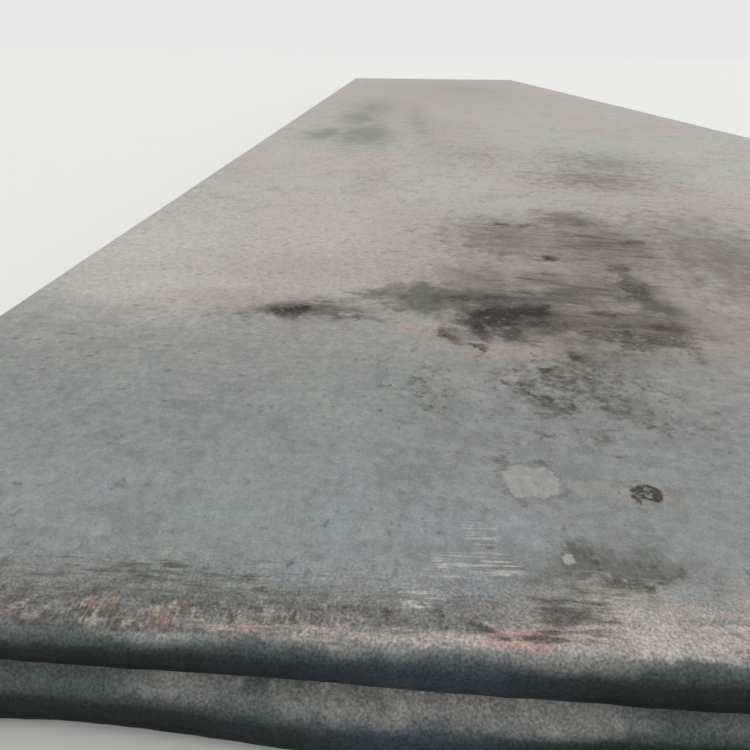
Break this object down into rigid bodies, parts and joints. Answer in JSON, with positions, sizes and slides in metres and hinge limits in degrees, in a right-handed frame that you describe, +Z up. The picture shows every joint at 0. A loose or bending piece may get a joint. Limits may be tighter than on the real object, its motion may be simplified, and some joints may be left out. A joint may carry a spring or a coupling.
{
  "type": "steel plate",
  "caption": "Thick rectangular hot-rolled steel plate with untrimmed mill edges: double-bulged sides with a crease between, rounded corners and a slightly out-of-square end.",
  "frame": {"origin": "middle of the plate's footprint, on the face that it lies on", "axes": "+Y along the plate's length, away from the end that the picture is taken over; +X across its width; +Z up through its thickness"},
  "size_m": [2.2, 9.0066, 0.1],
  "materials": {
    "mill_scale": "matt grey mill scale with yard dust, mud stains and light surface rust"
  },
  "bodies": {
    "root": {"steel_plate": "mill_scale"}
  },
  "joints": []
}
